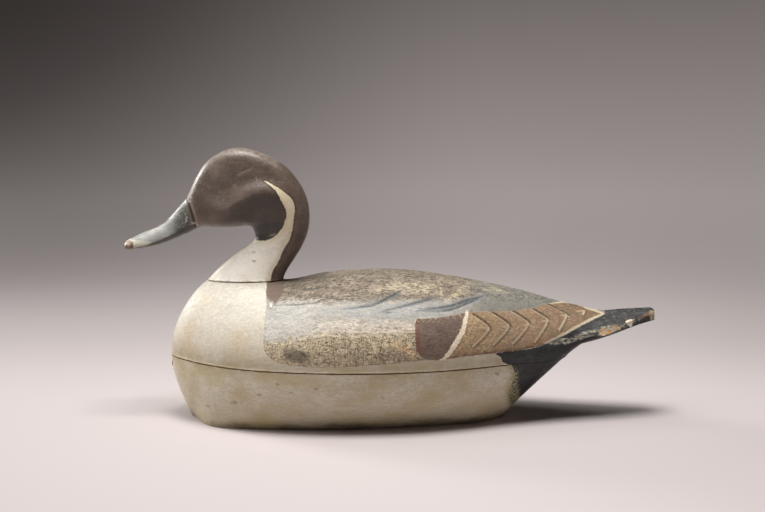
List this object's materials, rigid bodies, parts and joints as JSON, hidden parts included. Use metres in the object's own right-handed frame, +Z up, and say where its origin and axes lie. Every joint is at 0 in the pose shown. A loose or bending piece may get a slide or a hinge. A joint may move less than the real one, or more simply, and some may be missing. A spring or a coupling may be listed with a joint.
{
  "type": "pintail duck decoy",
  "caption": "Carved and painted wooden pintail drake decoy with a two-part body, long flat tail and curved neck on a seat.",
  "frame": {"origin": "centre of the part's plan, on the plane of its flat underside", "axes": "+Z up, bill towards -X, tail towards +X, the flank that the picture shows on the -Y side"},
  "size_m": [0.4446, 0.1634, 0.2256],
  "materials": {
    "belly_paint": "aged cream-white oil paint, rubbed and stained, black under the tail",
    "back_paint": "aged oil paint: cream breast, combed grey and tan back, brown feathers with cream edges, black tail with a chipped rim",
    "head_paint": "aged taupe-brown oil paint with a cream neck and stripe and a worn blue-grey bill"
  },
  "bodies": {
    "root": {"body_lower": "belly_paint", "body_upper": "back_paint", "head": "head_paint"}
  },
  "joints": []
}
